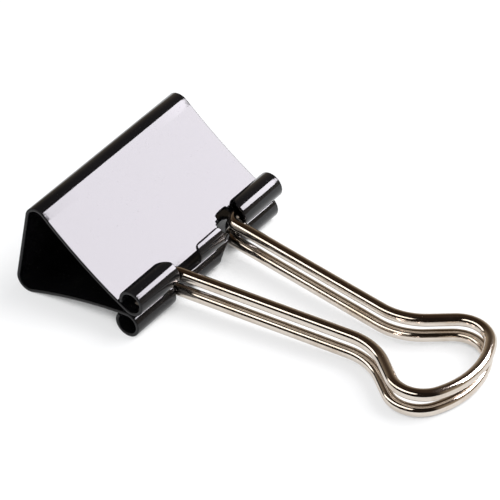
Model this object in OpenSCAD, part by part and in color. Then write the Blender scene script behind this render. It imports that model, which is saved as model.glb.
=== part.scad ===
// Binder clip: a sprung sheet body with rolled jaw edges, and two wire handles that lever it open.
// X runs across the clip, +Y from the back to the handles, +Z up from the table it lies on.

/* [Sheet body] */
// Width of the clip across its jaws
body_w = 19; // [15:0.5:60]
// Thickness of the spring sheet
sheet_t = 0.3; // [0.2:0.05:0.5]
// Straight distance on a face from the rolled edge to the bend at the back
face_len = 10.05; // [8:0.1:30]
// Slope of each face from the mid-plane
face_angle = 24.2; // [18:0.5:32]
// How far the middle of a face is bowed inward
face_bow = 0.28; // [0.05:0.01:0.5]
// Outside radius of the bends at the back
bend_r = 1.2; // [0.9:0.05:3]

/* [Rolled edges] */
// Outside diameter of the rolled barrels
barrel_d = 2.35; // [2.2:0.05:4]
// Length of each barrel
barrel_len = 5.1; // [4:0.1:14]
// How far round the barrels are rolled
barrel_turn = 316; // [280:1:325]
// How far the corner of a barrel's free edge is cut back along the barrel
barrel_cut = 0.95; // [0.5:0.1:2]
// How far round the middle lip is rolled
lip_turn = 184; // [160:1:230]
// Half of the width that the lip loses from its root to its rim
lip_taper = 1.5; // [0.5:0.1:2.5]
// Corner radius of the lip's rim
lip_corner = 0.45; // [0.2:0.05:0.6]
// How far the relief behind each slot reaches into the face
slot_depth = 1.15; // [0.8:0.05:2]
// Width of the relief behind each slot
slot_w = 1.6; // [1.2:0.1:2.5]

/* [Wire handles] */
// Diameter of the handle wire
wire_d = 1.05; // [0.8:0.05:1.1]
// Distance from a barrel's inner end to the corner where the wire turns into it
arm_inset = 0.5; // [0.3:0.05:0.8]
// Distance from the pivot to the narrow waist
waist_y = 18.7; // [12:0.1:60]
// Half width of the handle at the waist's corners
waist_x = 1.85; // [1.2:0.05:4]
// Distance from the waist to the widest part of the loop
loop_len = 5.9; // [4:0.1:16]
// Half width between the loop's corners before they are rounded
loop_x = 6.4; // [5:0.1:20]
// Height of the loop's blunt point beyond its corners
loop_rise = 3.25; // [2:0.05:8]
// Bend radius of the wire where it enters a barrel
pivot_bend_r = 0.85; // [0.7:0.05:1.5]
// Bend radius of the wire at the waist
waist_bend_r = 5.3; // [3:0.1:8]
// Bend radius of the wire at the loop's corners
loop_bend_r = 2.65; // [1.5:0.05:4]
// Bend radius of the wire at the loop's point
end_bend_r = 7.4; // [4:0.1:10]
// Distance from the wire's tip to the open end of its barrel
tip_inset = 0.9; // [0.3:0.1:1.5]

/* [Fits] */
// Gap between the closed jaws
jaw_gap = 0.06; // [0.04:0.01:0.2]
// Clearance between the wire and the wall of the barrel that it leans on
pivot_play = 0.05; // [0.03:0.01:0.1]
// Clearance between the lip and the wire beside it
lip_play = 0.3; // [0.1:0.05:0.6]
// Gap in the sheet at each line where a face flexes from the back
flex_gap = 0.03; // [0.02:0.01:0.1]

/* [Hidden] */
$fn = 48;

// The rolled edge, as seen from the side. A side view's points are [y, z], with z from the mid-plane.
barrel_r = barrel_d / 2;
roll_r = barrel_r - sheet_t / 2;
roll_c = [0, barrel_r + jaw_gap / 2];
barrel_in = body_w / 2 - barrel_len;

// The face is an arc that starts square to the roll and ends at the flex line.
face_r = face_len * face_len / (8 * face_bow) + face_bow / 2;
face_turn = 2 * asin(face_len / 2 / face_r);
jaw_slope = face_angle - face_turn / 2;
back_slope = face_angle + face_turn / 2;
function out_of(slope) = [sin(slope), cos(slope)];
face_start = roll_c - roll_r * out_of(jaw_slope);
face_c = face_start + face_r * out_of(jaw_slope);
flex_line = face_c - face_r * out_of(back_slope);
// The bends' centres lie on whole microns, so the flat back meets both bends face to face.
function to_micron(p) = [for (x = p) round(x * 1000) / 1000];
bend_c = to_micron(flex_line - (bend_r - sheet_t / 2) * out_of(back_slope));
flex_turn = (sheet_t / 2 + flex_gap) / (bend_r - sheet_t / 2) * 180 / PI;

// The wire sits in its barrel against the wall nearest the mid-plane.
wire_r = wire_d / 2;
pivot_z = roll_c[1] - (barrel_r - sheet_t - wire_r - pivot_play);
arm_x = barrel_in - arm_inset;
arm_in = arm_x - wire_r;
lip_root = arm_in - lip_play;
lip_rim = lip_root - lip_taper;

// The gap inside each of the wire's collars, and twice how far a collar stands proud.
seam = 0.02;

// The handle's corners from the barrel to the loop's point, and back down the other side.
shoulder_y = waist_y + loop_len;
point_y = shoulder_y + loop_rise;
tip_x = body_w / 2 - tip_inset;
half_path = [[tip_x, 0], [arm_x, 0], [waist_x, waist_y], [loop_x, shoulder_y]];
wire_path = concat(half_path, [[0, point_y]], [for (i = [3:-1:0]) [-half_path[i][0], half_path[i][1]]]);
wire_radii = [0, pivot_bend_r, waist_bend_r, loop_bend_r, end_bend_r,
              loop_bend_r, waist_bend_r, pivot_bend_r, 0];
loop_slope = atan2(loop_rise, loop_x);
handle_reach = point_y - end_bend_r * (1 / cos(loop_slope) - 1);

// The clip lies on its lower barrels and its lower bend, with the lower handle's end on the table.
lean = atan2(bend_c[1] - roll_c[1], -bend_c[0])
     + asin((bend_r - barrel_r) / norm([bend_c[0], bend_c[1] - roll_c[1]]));
function leaned(p) = [p[0] * cos(lean) + p[1] * sin(lean), p[1] * cos(lean) - p[0] * sin(lean)];
lift = barrel_r - leaned([0, -roll_c[1]])[1];
handle_drop = asin((leaned([0, -pivot_z])[1] + lift - wire_r) / handle_reach);
back_edge = leaned([bend_c[0], -bend_c[1]])[0] - bend_r;
front_edge = leaned([0, pivot_z])[0] + handle_reach * cos(handle_drop) + wire_r;
slide = -(back_edge + front_edge) / 2;

// Turns a side view's plane so that its height runs along the clip's width.
module side_on() {
    rotate([90, 0, 90])
        children();
}

// A strip of sheet bent about the origin, from the x axis through a turn, standing on z = 0.
module strip(r, turn, width) {
    rotate_extrude(angle = turn)
        translate([r - sheet_t / 2, 0])
            square([sheet_t, width]);
}

// A piece of bent sheet about a side-view centre, from one angle through a turn, between two widths.
module bent_sheet(c, r, from, turn, x0, x1) {
    side_on()
        translate([c[0], c[1], x0])
            rotate([0, 0, from])
                strip(r, turn, x1 - x0);
}

// The closed clip, leaned over onto the table.
module lying() {
    translate([0, slide, lift])
        rotate([-lean, 0, 0])
            children();
}

// Places a piece of the upper jaw, or the same piece of the lower jaw.
module jaw(upper) {
    lying()
        mirror([0, 0, upper ? 0 : 1])
            children();
}

// Outline of one slot in the face: the mouth beside the barrel and the round-cornered relief behind it.
module slot_outline() {
    relief_x = arm_in + 0.2;
    corner = 0.4;
    translate([lip_root, -1])
        square([barrel_in - lip_root, 1.5]);
    translate([relief_x, 0.3])
        square([slot_w, slot_depth - 0.3 - corner]);
    translate([relief_x + corner, 0.3])
        square([slot_w - 2 * corner, slot_depth - 0.3]);
    for (x = [relief_x + corner, relief_x + slot_w - corner])
        translate([x, slot_depth - corner])
            circle(corner);
}

// Stands an outline drawn as [across, along the face] square through the sheet at the jaw end.
module through_face() {
    translate([0, face_start[0], face_start[1]])
        rotate([-face_angle, 0, 0])
            mirror([0, 1, 0])
                translate([0, 0, -2 * sheet_t])
                    linear_extrude(4 * sheet_t)
                        children();
}

// One bowed face with a half-round edge along its flex line.
module face() {
    difference() {
        union() {
            bent_sheet(face_c, face_r, 270 - back_slope, face_turn, -body_w / 2, body_w / 2);
            side_on()
                translate([flex_line[0], flex_line[1], -body_w / 2])
                    cylinder(d = sheet_t, h = body_w);
        }
        for (side = [0, 1])
            mirror([side, 0, 0])
                through_face()
                    slot_outline();
    }
}

// One rolled barrel on the +X side, with the inner corner of its free edge cut away.
module barrel() {
    start = 270 - jaw_slope;
    difference() {
        bent_sheet(roll_c, roll_r, start, barrel_turn, barrel_in, body_w / 2);
        translate([0, roll_c[0], roll_c[1]])
            rotate([-jaw_slope, 0, 0])
                translate([0, 0, -barrel_r / 2])
                    linear_extrude(2 * barrel_d)
                        polygon([[barrel_in - 1, 0.1], [barrel_in, 0.1],
                                 [barrel_in + barrel_cut, -barrel_r], [barrel_in + barrel_cut, -barrel_d],
                                 [barrel_in - 1, -barrel_d]]);
    }
}

// Front view of the middle lip, from its wide root to its round-cornered rim.
module lip_outline() {
    rim_z = 2 * roll_c[1];
    for (side = [0, 1])
        mirror([side, 0]) {
            polygon([[0, -1], [lip_root, -1], [lip_root, 1.3 * sheet_t],
                     [lip_rim + 0.35 * lip_taper, 0.6 * barrel_r], [lip_rim, barrel_r],
                     [lip_rim, rim_z - lip_corner], [0, rim_z - lip_corner]]);
            translate([lip_rim - lip_corner, rim_z - lip_corner])
                circle(lip_corner);
            translate([0, barrel_r])
                square([lip_rim - lip_corner, barrel_d]);
        }
}

// The part-rolled lip in the middle of a jaw's edge.
module lip() {
    intersection() {
        bent_sheet(roll_c, roll_r, 270 - jaw_slope, lip_turn, -lip_root, lip_root);
        translate([0, barrel_d, 0])
            rotate([90, 0, 0])
                linear_extrude(2 * barrel_d)
                    lip_outline();
    }
}

// Directions and lengths along a bent wire's path.
function unit(v) = v / norm(v);
function bearing(v) = atan2(v[1], v[0]);
function turned(p, i) = let (t = bearing(p[i + 1] - p[i]) - bearing(p[i] - p[i - 1]))
    t > 180 ? t - 360 : t < -180 ? t + 360 : t;
function ease(p, r, i) = i == 0 || i == len(p) - 1 ? 0 : r[i] * tan(abs(turned(p, i)) / 2);

// A round wire bent flat along a path, with a bend radius at each corner. A collar joins each bend to its straights.
module bent_wire(p, r) {
    last = len(p) - 1;
    for (i = [0:last - 1]) {
        way = unit(p[i + 1] - p[i]);
        from = ease(p, r, i) + (i > 0 ? seam : 0);
        to = norm(p[i + 1] - p[i]) - ease(p, r, i + 1) - (i < last - 1 ? seam : 0);
        start = p[i] + way * from;
        translate([start[0], start[1], 0])
            rotate([0, 90, bearing(way)])
                cylinder(r = wire_r, h = to - from);
    }
    for (i = [1:last - 1]) {
        way = unit(p[i] - p[i - 1]);
        on = unit(p[i + 1] - p[i]);
        turn = turned(p, i);
        start = p[i] - way * ease(p, r, i);
        end = p[i] + on * ease(p, r, i);
        centre = start + r[i] * sign(turn) * [-way[1], way[0]];
        translate([centre[0], centre[1], 0])
            rotate([0, 0, bearing(start - centre) + min(turn, 0)])
                rotate_extrude(angle = abs(turn))
                    translate([r[i], 0])
                        circle(wire_r, $fn = 24);
        collar(start, way);
        collar(end, on);
    }
}

// A short collar round the wire, where a bend meets a straight.
module collar(at, way) {
    translate([at[0], at[1], 0])
        rotate([0, 90, bearing(way)])
            cylinder(r = wire_r + seam / 2, h = 4 * seam, center = true);
}

// One wire handle, hinged at its barrels' axis and dropped towards the table.
module handle(upper) {
    at = leaned([0, upper ? pivot_z : -pivot_z]);
    translate([0, slide + at[0], lift + at[1]])
        rotate([-handle_drop, 0, 0])
            bent_wire(wire_path, wire_radii);
}

// One bend of the back, from its flat wall round to the flex line.
module bend() {
    side_on()
        translate([bend_c[0], bend_c[1], -body_w / 2])
            mirror([1, 0, 0])
                strip(bend_r - sheet_t / 2, 90 + back_slope - flex_turn, body_w);
}

module back() {
    color("dimgray")
        lying()
            union() {
                bend();
                mirror([0, 0, 1])
                    bend();
                translate([-body_w / 2, bend_c[0] - bend_r, -bend_c[1]])
                    cube([body_w, sheet_t, 2 * bend_c[1]]);
            }
}

module upper_face() {
    color("gray")
        jaw(true)
            face();
}

module lower_face() {
    color("gray")
        jaw(false)
            face();
}

module upper_lip() {
    color("slategray")
        jaw(true)
            lip();
}

module lower_lip() {
    color("slategray")
        jaw(false)
            lip();
}

module upper_left_barrel() {
    color("steelblue")
        jaw(true)
            mirror([1, 0, 0])
                barrel();
}

module upper_right_barrel() {
    color("steelblue")
        jaw(true)
            barrel();
}

module lower_left_barrel() {
    color("cadetblue")
        jaw(false)
            mirror([1, 0, 0])
                barrel();
}

module lower_right_barrel() {
    color("cadetblue")
        jaw(false)
            barrel();
}

module upper_handle() {
    color("silver")
        handle(true);
}

module lower_handle() {
    color("tan")
        handle(false);
}

back();
upper_face();
lower_face();
upper_lip();
lower_lip();
upper_left_barrel();
upper_right_barrel();
lower_left_barrel();
lower_right_barrel();
upper_handle();
lower_handle();
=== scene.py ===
"""A small binder clip: a black lacquered spring sheet with rolled edges, and two nickel-plated handles."""

from math import asin, atan2, cos, hypot, pi, radians, sin

import bmesh
import bpy
from mathutils import Matrix, Vector


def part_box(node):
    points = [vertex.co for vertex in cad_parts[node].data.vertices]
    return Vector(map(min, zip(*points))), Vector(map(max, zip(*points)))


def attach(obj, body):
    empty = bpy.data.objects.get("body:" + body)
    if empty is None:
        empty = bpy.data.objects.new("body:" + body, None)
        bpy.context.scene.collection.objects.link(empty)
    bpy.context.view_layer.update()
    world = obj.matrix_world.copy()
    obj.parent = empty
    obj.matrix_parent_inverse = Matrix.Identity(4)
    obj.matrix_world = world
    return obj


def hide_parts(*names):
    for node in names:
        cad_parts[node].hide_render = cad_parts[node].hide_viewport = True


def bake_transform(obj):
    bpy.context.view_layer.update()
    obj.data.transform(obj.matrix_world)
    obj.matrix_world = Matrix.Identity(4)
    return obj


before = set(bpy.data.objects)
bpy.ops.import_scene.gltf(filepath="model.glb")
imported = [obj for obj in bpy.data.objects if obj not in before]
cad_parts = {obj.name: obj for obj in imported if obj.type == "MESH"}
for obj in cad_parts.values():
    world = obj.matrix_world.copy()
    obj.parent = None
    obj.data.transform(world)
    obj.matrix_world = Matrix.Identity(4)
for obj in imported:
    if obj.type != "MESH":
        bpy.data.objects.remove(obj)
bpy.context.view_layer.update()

# ---------------------------------------------------------------------------------------------
# Driving dimensions, as in the CAD model
# ---------------------------------------------------------------------------------------------
MM = 0.001
HALF_W = (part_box("back")[1].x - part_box("back")[0].x) / 2
SHEET_T = 0.3 * MM
FACE_LEN = 10.05 * MM
FACE_ANGLE = radians(24.2)
FACE_BOW = 0.28 * MM
BEND_R = 1.2 * MM
BARREL_R = 1.175 * MM
BARREL_LEN = 5.1 * MM
BARREL_TURN = radians(316)
BARREL_CUT = 0.95 * MM
BARREL_CORNER = 0.3 * MM
LIP_TURN = radians(184)
LIP_TAPER = 1.5 * MM
LIP_CORNER = 0.45 * MM
SLOT_DEPTH = 1.15 * MM
SLOT_W = 1.6 * MM
SLOT_CORNER = 0.4 * MM
MOUTH_DEPTH = 0.5 * MM
EAR = 0.3 * MM
WIRE_R = 0.525 * MM
ARM_INSET = 0.5 * MM
WAIST_Y = 18.7 * MM
WAIST_X = 1.85 * MM
LOOP_LEN = 5.9 * MM
LOOP_X = 6.4 * MM
LOOP_RISE = 3.25 * MM
PIVOT_BEND_R = 0.85 * MM
WAIST_BEND_R = 5.3 * MM
LOOP_BEND_R = 2.65 * MM
END_BEND_R = 7.4 * MM
TIP_INSET = 0.9 * MM
JAW_GAP = 0.06 * MM
PIVOT_PLAY = 0.05 * MM
LIP_PLAY = 0.3 * MM

# The lip's slanting side: the share of its taper that is left, and the distance along from the jaw
LIP_SIDE = ((1.0, 0.98 * MM), (0.35, 1.4 * MM), (0.07, 1.75 * MM), (0.0, 2.05 * MM))

# The radius that the lacquer leaves on the sheet's cut edges
EDGE_R = 0.075 * MM

# The cut across a barrel starts this far in front of its axis, and has this many steps.
CUT_FRONT = 0.1 * MM
CUT_STEPS = 12

# The slot's deeper part starts this far outwards of the arm's inner side.
RELIEF_TUCK = 0.2 * MM

# How closely the sheet is divided along its bends, its faces and its rolls. The flex zone is the
# start of a face, divided as closely as a bend. Points nearer than the last are one.
BEND_STEP = 0.1 * MM
FACE_STEP = 0.5 * MM
ROLL_STEP = 0.09 * MM
FLEX_ZONE = 0.6 * MM
SAME_PLACE = 0.015 * MM

# An edge that turns more than this is a rim, which is rounded and stays crisp.
RIM_ANGLE = radians(50)

# ---------------------------------------------------------------------------------------------
# Side view of the sheet, as (y, z) with z from the mid-plane
# ---------------------------------------------------------------------------------------------
ROLL_R = BARREL_R - SHEET_T / 2
ROLL_C = Vector((0, BARREL_R + JAW_GAP / 2))
BEND_MID_R = BEND_R - SHEET_T / 2
FACE_R = FACE_LEN ** 2 / (8 * FACE_BOW) + FACE_BOW / 2
FACE_TURN = 2 * asin(FACE_LEN / 2 / FACE_R)
JAW_SLOPE = FACE_ANGLE - FACE_TURN / 2
BACK_SLOPE = FACE_ANGLE + FACE_TURN / 2


def out_of(slope):
    """The way out of a face at a slope."""
    return Vector((sin(slope), cos(slope)))


FACE_C = ROLL_C + (FACE_R - ROLL_R) * out_of(JAW_SLOPE)
FLEX_LINE = FACE_C - FACE_R * out_of(BACK_SLOPE)
BEND_C = FLEX_LINE - BEND_MID_R * out_of(BACK_SLOPE)

# Distances along the middle of the sheet, from the middle of the back
BEND_START = BEND_C.y
FLEX_AT = BEND_START + BEND_MID_R * (pi / 2 + BACK_SLOPE)
JAW_AT = FLEX_AT + FACE_R * FACE_TURN
BARREL_END = JAW_AT + ROLL_R * BARREL_TURN
LIP_END = JAW_AT + ROLL_R * LIP_TURN

BARREL_IN = HALF_W - BARREL_LEN
ARM_X = BARREL_IN - ARM_INSET
LIP_ROOT = ARM_X - WIRE_R - LIP_PLAY
LIP_RIM = LIP_ROOT - LIP_TAPER
RELIEF_IN = ARM_X - WIRE_R + RELIEF_TUCK
RELIEF_OUT = RELIEF_IN + SLOT_W

# The clip lies on its lower barrels and its lower bend, with the lower handle's end on the table.
PIVOT_Z = ROLL_C.y - (BARREL_R - SHEET_T - WIRE_R - PIVOT_PLAY)
POINT_Y = WAIST_Y + LOOP_LEN + LOOP_RISE
HANDLE_REACH = POINT_Y - END_BEND_R * (hypot(LOOP_RISE, LOOP_X) / LOOP_X - 1)
RISE = BEND_C.y - ROLL_C.y
LEAN = atan2(RISE, -BEND_C.x) + asin((BEND_R - BARREL_R) / hypot(BEND_C.x, RISE))


def leaned(y, z):
    """A side view's point, turned with the clip as it lies."""
    return Vector((y * cos(LEAN) + z * sin(LEAN), z * cos(LEAN) - y * sin(LEAN)))


LIFT = BARREL_R - leaned(0, -ROLL_C.y).y
HANDLE_DROP = asin((leaned(0, -PIVOT_Z).y + LIFT - WIRE_R) / HANDLE_REACH)
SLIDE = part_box("back")[0].y + BEND_R - leaned(BEND_C.x, -BEND_C.y).x


def lying(x, y, z):
    """A point of the upright clip, in the place where the clip lies."""
    flat = leaned(y, z)
    return Vector((x, SLIDE + flat.x, LIFT + flat.y))


# ---------------------------------------------------------------------------------------------
# Shader graphs
# ---------------------------------------------------------------------------------------------
class Tone:
    """A value in a material. Arithmetic on it adds Math nodes."""

    def __init__(self, finish, socket):
        self.finish = finish
        self.socket = socket

    def math(self, operation, first, second):
        return self.finish.add("ShaderNodeMath", {"operation": operation}, {0: first, 1: second})

    def __add__(self, other):
        return self.math("ADD", self, other)

    def __radd__(self, other):
        return self.math("ADD", other, self)

    def __sub__(self, other):
        return self.math("SUBTRACT", self, other)

    def __rsub__(self, other):
        return self.math("SUBTRACT", other, self)

    def __mul__(self, other):
        return self.math("MULTIPLY", self, other)

    def __rmul__(self, other):
        return self.math("MULTIPLY", other, self)

    def above(self, low, high):
        """0 under low, 1 over high, and a smooth rise between them."""
        return self.finish.add("ShaderNodeMapRange", {"interpolation_type": "SMOOTHSTEP"},
                               {"Value": self, "From Min": low, "From Max": high})


class Finish:
    """A node material, or the world's nodes, under construction."""

    def __init__(self, name=None, world=None):
        owner = world or bpy.data.materials.new(name)
        owner.use_nodes = True
        self.material = owner
        self.tree = owner.node_tree
        self.tree.nodes.clear()

    def add(self, kind, settings=None, sockets=None, out=0):
        """Adds a node: its settings first, then the values or links of its sockets."""
        node = self.tree.nodes.new(kind)
        for key, value in (settings or {}).items():
            setattr(node, key, value)
        for key, value in (sockets or {}).items():
            if isinstance(value, Tone):
                self.tree.links.new(value.socket, node.inputs[key])
            else:
                node.inputs[key].default_value = value
        return Tone(self, node.outputs[out])

    def noise(self, at, scale, detail=2.0, roughness=0.5):
        return self.add("ShaderNodeTexNoise", None,
                        {"Vector": at, "Scale": scale, "Detail": detail, "Roughness": roughness})

    def mix(self, share, first, second):
        """A colour between two colours."""
        return self.add("ShaderNodeMix", {"data_type": "RGBA"}, {0: share, 6: first, 7: second}, out=2)

    def stretched(self, at, scale):
        return self.add("ShaderNodeMapping", None, {"Vector": at, "Scale": scale})

    def place(self):
        """The place on the piece, in metres."""
        return self.add("ShaderNodeTexCoord", out="Object")

    def bump(self, height, depth):
        return self.add("ShaderNodeBump", None, {"Height": height, "Distance": depth, "Strength": 1.0})

    def surface(self, shader):
        """Ends the material, or the world, in a shader."""
        kind = "World" if isinstance(self.material, bpy.types.World) else "Material"
        node = self.tree.nodes.new(f"ShaderNodeOutput{kind}")
        self.tree.links.new(shader.socket, node.inputs["Surface"])
        return self.material


def black_lacquer(name, worn):
    """Glossy black lacquer with a faint orange peel. A worn one shows grey steel where it is chipped."""
    f = Finish(name)
    at = f.place()
    cloud = f.noise(at, 180.0, 3.0)
    peel = f.noise(at, 2600.0, 1.0)
    dust = f.noise(at, 9000.0, 2.0).above(0.66, 0.76)
    handling = f.noise(f.stretched(at, (300.0, 2500.0, 900.0)), 1.0, 3.0).above(0.62, 0.8)
    colour = f.mix(cloud, (0.0035, 0.0035, 0.004, 1), (0.008, 0.0078, 0.0085, 1))
    colour = f.mix(dust * 0.10, colour, (0.18, 0.17, 0.16, 1))
    rough = 0.05 + cloud * 0.04 + handling * 0.05 + dust * 0.25
    metal = 0.0
    if worn:
        chip = f.noise(at, 3200.0, 4.0, 0.7).above(0.66, 0.72)
        colour = f.mix(chip * 0.55, colour, (0.24, 0.22, 0.20, 1))
        rough = rough + 0.12 + chip * 0.2
        metal = chip * 0.55
    height = peel + dust * 0.4
    shader = f.add("ShaderNodeBsdfPrincipled", None, {
        "Base Color": colour, "Metallic": metal, "Roughness": rough, "IOR": 1.5,
        "Specular IOR Level": 0.22 if worn else 0.35,
        "Normal": f.bump(height, 0.0022 * MM)})
    return f.surface(shader)


def nickel():
    """Bright nickel on drawn wire: fine draw lines, soft tarnish and a few rubbed spots."""
    f = Finish("bright nickel wire")
    drawn = f.add("ShaderNodeAttribute", {"attribute_name": "drawn"}, out="Vector")
    at = f.place()
    lines = f.noise(f.stretched(drawn, (220.0, 9000.0, 9000.0)), 1.0, 3.0, 0.6)
    tarnish = f.noise(at, 420.0, 4.0, 0.6).above(0.45, 0.75)
    pits = f.noise(at, 6500.0, 2.0).above(0.68, 0.78)
    colour = f.mix(tarnish, (0.68, 0.615, 0.545, 1), (0.56, 0.48, 0.40, 1))
    colour = f.mix(pits * 0.5, colour, (0.30, 0.24, 0.18, 1))
    rough = 0.07 + lines * 0.07 + tarnish * 0.06 + pits * 0.2
    shader = f.add("ShaderNodeBsdfPrincipled", None, {
        "Base Color": colour, "Metallic": 1.0, "Roughness": rough,
        "Normal": f.bump(lines - pits * 0.6, 0.0016 * MM)})
    return f.surface(shader)


# ---------------------------------------------------------------------------------------------
# The spring sheet
# ---------------------------------------------------------------------------------------------
def along_sheet(s):
    """The sheet's middle in side view, at a distance from the back's middle: the place, and the way out."""
    if s <= BEND_START:
        return Vector((BEND_C.x - BEND_MID_R, s)), Vector((-1, 0))
    if s <= FLEX_AT:
        turn = pi - (s - BEND_START) / BEND_MID_R
        out = Vector((cos(turn), sin(turn)))
        return BEND_C + BEND_MID_R * out, out
    if s <= JAW_AT:
        out = out_of(BACK_SLOPE - (s - FLEX_AT) / FACE_R)
        return FACE_C - FACE_R * out, out
    turn = 3 * pi / 2 - JAW_SLOPE + (s - JAW_AT) / ROLL_R
    spoke = Vector((cos(turn), sin(turn)))
    return ROLL_C + ROLL_R * spoke, -spoke


def arc(x, s, r, start, end, steps=5):
    """Points of a rounded corner of the blank."""
    turns = [radians(start + (end - start) * k / steps) for k in range(steps + 1)]
    return [(x + r * cos(t), s + r * sin(t)) for t in turns]


def barrel_edge():
    """The barrel's inner end, from its free edge, where it is cut back most, round to its front."""
    points = []
    for k in range(CUT_STEPS + 1):
        turn = pi / 2 + (pi / 2) * (1 - k / CUT_STEPS)
        across = (CUT_FRONT - ROLL_R * cos(turn)) / (CUT_FRONT + BARREL_R)
        s = JAW_AT + ROLL_R * (turn + JAW_SLOPE + pi / 2)
        points.append((BARREL_IN + BARREL_CUT * across, s))
    return points


def blank_outline():
    """The flat blank's right half, from the back's middle to the rolled edges, as (across, along)."""
    cut = barrel_edge()
    points = [(HALF_W, 0), (HALF_W, BARREL_END)]
    points += arc(cut[0][0] + BARREL_CORNER, BARREL_END - BARREL_CORNER, BARREL_CORNER, 90, 180)
    points += cut
    points += [(BARREL_IN, JAW_AT - EAR), (RELIEF_OUT, JAW_AT - EAR)]
    relief = JAW_AT - SLOT_DEPTH + SLOT_CORNER
    points += arc(RELIEF_OUT - SLOT_CORNER, relief, SLOT_CORNER, 0, -90)
    points += arc(RELIEF_IN + SLOT_CORNER, relief, SLOT_CORNER, -90, -180)
    points += [(RELIEF_IN, JAW_AT - MOUTH_DEPTH), (LIP_ROOT, JAW_AT - MOUTH_DEPTH)]
    points += [(LIP_RIM + left * LIP_TAPER, JAW_AT + along) for left, along in LIP_SIDE]
    points += arc(LIP_RIM - LIP_CORNER, LIP_END - LIP_CORNER, LIP_CORNER, 0, 90)
    return points


def evenly(start, end, step):
    """Stations from one distance to another, no further apart than a step."""
    count = max(1, round((end - start) / step + 0.49))
    return [start + (end - start) * k / count for k in range(count + 1)]


def flat_blank():
    """The flat blank, divided across itself where it will be bent."""
    right = blank_outline()
    outline = right + [(-x, s) for x, s in reversed(right)]
    blank = bmesh.new()
    blank.faces.new([blank.verts.new((x, s, 0)) for x, s in outline])
    zone_end = FLEX_AT + FLEX_ZONE
    stations = evenly(BEND_START, FLEX_AT, BEND_STEP) + evenly(FLEX_AT, zone_end, BEND_STEP)
    stations += evenly(zone_end, JAW_AT, FACE_STEP) + evenly(JAW_AT, BARREL_END, ROLL_STEP)
    right_columns = (LIP_RIM, LIP_ROOT, RELIEF_IN, BARREL_IN, RELIEF_OUT)
    columns = [side * x for side in (-1, 1) for x in right_columns]
    cuts = [((0, s, 0), (0, 1, 0)) for s in stations] + [((x, 0, 0), (1, 0, 0)) for x in columns]
    for point, normal in cuts:
        geometry = blank.verts[:] + blank.edges[:] + blank.faces[:]
        bmesh.ops.bisect_plane(blank, geom=geometry, dist=0.5e-6, plane_co=point, plane_no=normal)
    bmesh.ops.remove_doubles(blank, verts=blank.verts, dist=SAME_PLACE)
    blank.verts.index_update()
    return blank


def half_sheet(name, upper, finishes):
    """One half of the sheet, from the middle of the back to its barrels and lip, as a closed shell."""
    blank = flat_blank()
    side = 1 if upper else -1
    shell = bmesh.new()
    skins = []
    for skin in (1, -1):
        verts = []
        for v in blank.verts:
            place, out = along_sheet(v.co.y)
            y, z = place + out * (skin * SHEET_T / 2)
            verts.append(shell.verts.new(lying(v.co.x, y, side * z)))
        skins.append(verts)
    for face in blank.faces:
        loop = [v.index for v in face.verts]
        shell.faces.new([skins[0][i] for i in loop])
        shell.faces.new([skins[1][i] for i in reversed(loop)])
    for edge in blank.edges:
        if edge.is_boundary:
            a, b = (v.index for v in edge.verts)
            rim = shell.faces.new((skins[0][a], skins[0][b], skins[1][b], skins[1][a]))
            rim.material_index = 1
    bmesh.ops.recalc_face_normals(shell, faces=shell.faces)
    middle = {verts[v.index] for verts in skins for v in blank.verts if v.co.y < 1e-7}
    sharp = [e for e in shell.edges if e.calc_face_angle(0) > RIM_ANGLE]
    rims = [e for e in sharp if not (e.verts[0] in middle and e.verts[1] in middle)]
    bmesh.ops.bevel(shell, geom=rims, offset=EDGE_R, offset_type="OFFSET", segments=3, profile=0.5,
                    affect="EDGES", clamp_overlap=False, material=1)
    for face in shell.faces:
        face.smooth = True
    for edge in shell.edges:
        edge.smooth = edge.calc_face_angle(0) < RIM_ANGLE
    mesh = bpy.data.meshes.new(name)
    shell.to_mesh(mesh)
    blank.free()
    shell.free()
    for finish in finishes:
        mesh.materials.append(finish)
    piece = bpy.data.objects.new(name, mesh)
    bpy.context.scene.collection.objects.link(piece)
    even = piece.modifiers.new("even shading", "WEIGHTED_NORMAL")
    even.keep_sharp = True
    return made_plain(piece)


def made_plain(piece):
    """The piece as its modifiers leave it, with no modifier on it."""
    depsgraph = bpy.context.evaluated_depsgraph_get()
    mesh = bpy.data.meshes.new_from_object(piece.evaluated_get(depsgraph), depsgraph=depsgraph)
    mesh.name = piece.name
    piece.modifiers.clear()
    piece.data = mesh
    return piece


# ---------------------------------------------------------------------------------------------
# The wire handles
# ---------------------------------------------------------------------------------------------
BEND_POINTS = 24
TIP_NARROWING = 0.22


class Tree:
    """A Geometry Nodes tree under construction."""

    def __init__(self, name, inputs):
        self.tree = bpy.data.node_groups.new(name, "GeometryNodeTree")
        self.tree.interface.new_socket("Geometry", in_out="INPUT", socket_type="NodeSocketGeometry")
        for title, kind in inputs:
            self.tree.interface.new_socket(title, in_out="INPUT", socket_type=kind)
        self.tree.interface.new_socket("Geometry", in_out="OUTPUT", socket_type="NodeSocketGeometry")
        self.inputs = self.tree.nodes.new("NodeGroupInput")

    def add(self, kind, settings=None, sockets=None):
        """Adds a node: its settings first, then the values or links of its sockets."""
        node = self.tree.nodes.new(kind)
        for key, value in (settings or {}).items():
            setattr(node, key, value)
        for key, value in (sockets or {}).items():
            if isinstance(value, bpy.types.NodeSocket):
                self.tree.links.new(value, node.inputs[key])
            else:
                node.inputs[key].default_value = value
        return node.outputs

    def math(self, operation, first, second):
        return self.add("ShaderNodeMath", {"operation": operation}, {0: first, 1: second})[0]

    def end(self, geometry):
        self.tree.links.new(geometry, self.tree.nodes.new("NodeGroupOutput").inputs[0])
        return self.tree


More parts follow.
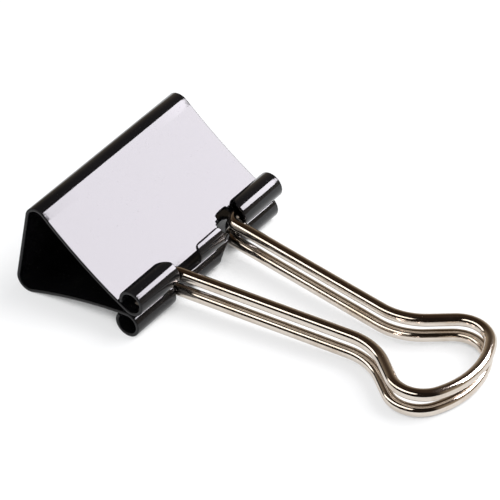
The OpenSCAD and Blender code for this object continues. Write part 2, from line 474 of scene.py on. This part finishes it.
def bent_wire_tree():
    """A round wire along a cornered path, with each corner's own bend radius and chamfered tips."""
    t = Tree("bent wire", [("Wire radius", "NodeSocketFloat"), ("Ring spacing", "NodeSocketFloat"),
                           ("Tip chamfer", "NodeSocketFloat"), ("Sides", "NodeSocketInt"),
                           ("Finish", "NodeSocketMaterial")])
    given = t.inputs.outputs
    radius = t.add("GeometryNodeInputNamedAttribute", {"data_type": "FLOAT"}, {"Name": "bend_radius"})[0]
    curve = t.add("GeometryNodeMeshToCurve", None, {"Mesh": given["Geometry"]})[0]
    curve = t.add("GeometryNodeFilletCurve", {"mode": "POLY"},
                  {"Curve": curve, "Count": BEND_POINTS, "Radius": radius, "Limit Radius": True})[0]
    curve = t.add("GeometryNodeResampleCurve", {"mode": "LENGTH"},
                  {"Curve": curve, "Length": given["Ring spacing"]})[0]
    along = t.add("GeometryNodeSplineParameter")["Length"]
    left = t.math("SUBTRACT", t.add("GeometryNodeSplineLength")["Length"], along)
    from_tip = t.math("MINIMUM", along, left)
    lost = t.math("SUBTRACT", 1.0, t.math("DIVIDE", from_tip, given["Tip chamfer"]))
    chamfer = t.math("MULTIPLY", t.math("MAXIMUM", lost, 0.0), TIP_NARROWING)
    curve = t.add("GeometryNodeStoreNamedAttribute", {"data_type": "FLOAT", "domain": "POINT"},
                  {"Geometry": curve, "Name": "along", "Value": along})[0]
    ring = t.add("GeometryNodeCurvePrimitiveCircle", None,
                 {"Resolution": given["Sides"], "Radius": given["Wire radius"]})["Curve"]
    factor = t.add("GeometryNodeSplineParameter")["Factor"]
    ring = t.add("GeometryNodeStoreNamedAttribute", {"data_type": "FLOAT", "domain": "POINT"},
                 {"Geometry": ring, "Name": "around", "Value": factor})[0]
    wire = t.add("GeometryNodeCurveToMesh", None,
                 {"Curve": curve, "Profile Curve": ring, "Scale": t.math("SUBTRACT", 1.0, chamfer),
                  "Fill Caps": True})[0]
    far = t.add("GeometryNodeInputNamedAttribute", {"data_type": "FLOAT"}, {"Name": "along"})[0]
    turn = t.add("GeometryNodeInputNamedAttribute", {"data_type": "FLOAT"}, {"Name": "around"})[0]
    turn = t.math("MULTIPLY", turn, 2 * pi)
    cosine = t.add("ShaderNodeMath", {"operation": "COSINE"}, {0: turn})[0]
    sine = t.add("ShaderNodeMath", {"operation": "SINE"}, {0: turn})[0]
    across = t.math("MULTIPLY", cosine, given["Wire radius"])
    up = t.math("MULTIPLY", sine, given["Wire radius"])
    drawn = t.add("ShaderNodeCombineXYZ", None, {"X": far, "Y": across, "Z": up})[0]
    wire = t.add("GeometryNodeStoreNamedAttribute", {"data_type": "FLOAT_VECTOR", "domain": "POINT"},
                 {"Geometry": wire, "Name": "drawn", "Value": drawn})[0]
    wire = t.add("GeometryNodeSetShadeSmooth", None, {"Geometry": wire})[0]
    wire = t.add("GeometryNodeRealizeInstances", None, {"Geometry": wire})[0]
    wire = t.add("GeometryNodeSetMaterial", None, {"Geometry": wire, "Material": given["Finish"]})[0]
    return t.end(wire)


def handle_path(upper):
    """The handle's corners from one tip to the other, where it lies, each with its bend radius."""
    half = [(HALF_W - TIP_INSET, 0, 0), (ARM_X, 0, PIVOT_BEND_R), (WAIST_X, WAIST_Y, WAIST_BEND_R),
            (LOOP_X, WAIST_Y + LOOP_LEN, LOOP_BEND_R)]
    corners = half + [(0, POINT_Y, END_BEND_R)] + [(-x, y, r) for x, y, r in reversed(half)]
    pivot = lying(0, 0, PIVOT_Z if upper else -PIVOT_Z)
    flat = Matrix.Translation(pivot) @ Matrix.Rotation(-HANDLE_DROP, 4, "X")
    return [(flat @ Vector((x, y, 0)), r) for x, y, r in corners]


def wire_handle(name, upper, tree, finish):
    """One handle, swept along its path."""
    path = handle_path(upper)
    mesh = bpy.data.meshes.new(name)
    mesh.from_pydata([p for p, r in path], [(k, k + 1) for k in range(len(path) - 1)], [])
    mesh.attributes.new("bend_radius", "FLOAT", "POINT").data.foreach_set("value", [r for p, r in path])
    piece = bpy.data.objects.new(name, mesh)
    bpy.context.scene.collection.objects.link(piece)
    sweep = piece.modifiers.new("bent wire", "NODES")
    sweep.node_group = tree
    sizes = {"Wire radius": WIRE_R, "Ring spacing": 0.2 * MM, "Tip chamfer": 0.15 * MM, "Sides": 32,
             "Finish": finish}
    for socket in tree.interface.items_tree:
        if socket.name in sizes:
            sweep[socket.identifier] = sizes[socket.name]
    made_plain(piece)
    piece.data.set_sharp_from_angle(angle=radians(40))
    return piece


lacquer = black_lacquer("black lacquer", worn=False)
lacquered_edge = black_lacquer("black lacquer on a cut edge", worn=True)
bright_nickel = nickel()
wire_tree = bent_wire_tree()

FLEX_BLEND = 0.55 * MM
for upper, jaw in ((True, "upper"), (False, "lower")):
    side = 1 if upper else -1
    half = half_sheet(f"{jaw}_spring_half", upper, (lacquer, lacquered_edge))
    ends = [lying(0, FLEX_LINE.x + step * FLEX_BLEND, side * FLEX_LINE.y) for step in (-1, 1)]
    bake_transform(half)
    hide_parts(f"{jaw}_face", f"{jaw}_lip", f"{jaw}_left_barrel", f"{jaw}_right_barrel")
    if upper:
        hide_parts("back")
    wire = wire_handle(f"{jaw}_wire_handle", upper, wire_tree, bright_nickel)
    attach(wire, f"{jaw}_handle")
    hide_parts(f"{jaw}_handle")

# ---------------------------------------------------------------------------------------------
# Floor, room and lamps
# ---------------------------------------------------------------------------------------------
def shown_white(f):
    """1 for the rays that show the background: the camera's, and those that metal and glass send on."""
    camera_ray = f.add("ShaderNodeLightPath", out="Is Camera Ray")
    glossy_ray = f.add("ShaderNodeLightPath", out="Is Glossy Ray")
    transmission_ray = f.add("ShaderNodeLightPath", out="Is Transmission Ray")
    return camera_ray + glossy_ray + transmission_ray


def white_world():
    world = bpy.data.worlds.new("white room")
    bpy.context.scene.world = world
    f = Finish(world=world)
    white = f.add("ShaderNodeBackground", None, {"Color": (1, 1, 1, 1), "Strength": 1.0})
    dim = f.add("ShaderNodeBackground", None, {"Color": (0.9, 0.93, 1, 1), "Strength": 0.55})
    f.surface(f.add("ShaderNodeMixShader", None, {0: shown_white(f), 1: dim, 2: white}))


def plane(name, corners, material):
    mesh = bpy.data.meshes.new(name)
    mesh.from_pydata(corners, [], [tuple(range(len(corners)))])
    mesh.materials.append(material)
    piece = bpy.data.objects.new(name, mesh)
    bpy.context.scene.collection.objects.link(piece)
    return piece


def pale_floor():
    """A pale table top that shows white and keeps the clip's shadow, with painted shade under the clip,
    where an occlusion mask darkens its colour and fades its white glow.
    """
    f = Finish("pale floor")
    at = f.place()
    colour = f.mix(f.noise(at, 40.0), (0.86, 0.86, 0.86, 1), (0.90, 0.90, 0.90, 1))
    # Painted shade: where the clip hides the table, an occlusion mask turns the board dark grey.
    openness = f.add("ShaderNodeAmbientOcclusion", {"samples": 8}, {"Distance": 9.0 * MM}, out="AO")
    open_sky = openness.above(0.06, 0.28)
    colour = f.mix(open_sky, (0.25, 0.25, 0.25, 1), colour)
    board = f.add("ShaderNodeBsdfDiffuse", None, {"Color": colour})
    white = f.add("ShaderNodeEmission", None, {"Color": (1, 1, 1, 1), "Strength": 1.0})
    distance = f.add("ShaderNodeVectorMath", {"operation": "LENGTH"}, {0: at}, out="Value")
    far = distance.above(0.05, 0.35)
    # The painted shade also fades the white glow where the clip hides the table.
    share = shown_white(f) * open_sky * (0.7 + far * 0.3)
    f.surface(f.add("ShaderNodeMixShader", None, {0: share, 1: board, 2: white}))
    size = 3.0
    z = -0.02 * MM
    plane("floor", [(-size, -size, z), (size, -size, z), (size, size, z), (-size, size, z)], f.material)


def card(name, toward, distance, width, height, colour, strength, level):
    """A studio card that only reflections see. It faces the clip, and its width runs along level."""
    f = Finish(name)
    f.surface(f.add("ShaderNodeEmission", None, {"Color": (*colour, 1), "Strength": strength}))
    face = Vector(toward).normalized()
    across = (Vector(level) - face * face.dot(Vector(level))).normalized()
    up = face.cross(across)
    middle = face * distance
    corners = [middle + across * (width / 2 * i) + up * (height / 2 * j)
               for i, j in ((-1, -1), (1, -1), (1, 1), (-1, 1))]
    piece = plane(name, corners, f.material)
    reflections_only(piece)


def reflections_only(piece):
    piece.visible_camera = False
    piece.visible_diffuse = False
    piece.visible_shadow = False
    piece.visible_transmission = False
    piece.visible_volume_scatter = False


def brown_room():
    """The dim warm room round the table, which only reflections see."""
    f = Finish("dim warm room")
    at = f.place()
    side = f.add("ShaderNodeSeparateXYZ", None, {0: at})
    height = f.add("ShaderNodeSeparateXYZ", None, {0: at}, out="Z")
    wall = f.mix(height.above(0.1, 1.25), (0.50, 0.41, 0.31, 1), (0.05, 0.03, 0.018, 1))
    colour = f.mix(side.above(-0.1, 0.4), wall, (0.02, 0.014, 0.01, 1))
    f.surface(f.add("ShaderNodeEmission", None, {"Color": colour, "Strength": 0.8}))
    mesh = bpy.data.meshes.new("room")
    shell = bmesh.new()
    bmesh.ops.create_uvsphere(shell, u_segments=48, v_segments=24, radius=1.5)
    low = [v for v in shell.verts if v.co.z < -1e-6]
    bmesh.ops.delete(shell, geom=low, context="VERTS")
    shell.to_mesh(mesh)
    shell.free()
    mesh.materials.append(f.material)
    piece = bpy.data.objects.new("room", mesh)
    bpy.context.scene.collection.objects.link(piece)
    reflections_only(piece)


def lamp(name, place, size, power):
    """A soft lamp that points at the clip and isn't itself mirrored."""
    light = bpy.data.lights.new(name, "AREA")
    light.shape = "SQUARE"
    light.size = size
    light.energy = power
    piece = bpy.data.objects.new(name, light)
    piece.location = place
    piece.rotation_euler = Vector(place).to_track_quat("Z", "Y").to_euler()
    piece.visible_glossy = False
    bpy.context.scene.collection.objects.link(piece)


def camera():
    """The view from the front right, above the table, at the angle of a hand-held close-up."""
    azimuth, elevation, roll = radians(51.44), radians(38.26), radians(-3.02)
    aim = Vector((-2.61, -4.81, 2.36)) * MM
    distance = 347.1 * MM
    back = Vector((sin(azimuth) * cos(elevation), cos(azimuth) * cos(elevation), sin(elevation)))
    view = bpy.data.cameras.new("camera")
    view.lens = 305.6
    view.clip_start = 0.01
    piece = bpy.data.objects.new("camera", view)
    turn = back.to_track_quat("Z", "Y").to_matrix().to_4x4() @ Matrix.Rotation(roll, 4, "Z")
    piece.matrix_world = Matrix.Translation(aim + back * distance) @ turn
    bpy.context.scene.collection.objects.link(piece)
    bpy.context.scene.camera = piece


white_world()
pale_floor()
brown_room()
card("face softbox", toward=(-0.61, 0.46, 0.645), distance=0.5, width=0.262, height=0.30,
     colour=(0.97, 0.93, 1.0), strength=25.0, level=(0, 0.8, -0.6))
SIDE = (0.61, -0.48, 0.63)
card("side flag", toward=SIDE, distance=0.9, width=0.9, height=1.1,
     colour=(0.02, 0.012, 0.006), strength=1.0, level=(0.7, 0, -0.7))
card("side strip", toward=SIDE, distance=0.7, width=0.24, height=1.2,
     colour=(1.0, 0.96, 0.9), strength=2.6, level=(0.7, 0, -0.7))
lamp("key lamp", place=(-0.3, 0.35, 0.7), size=0.5, power=9.0)
camera()
bpy.context.scene.view_settings.view_transform = "Standard"
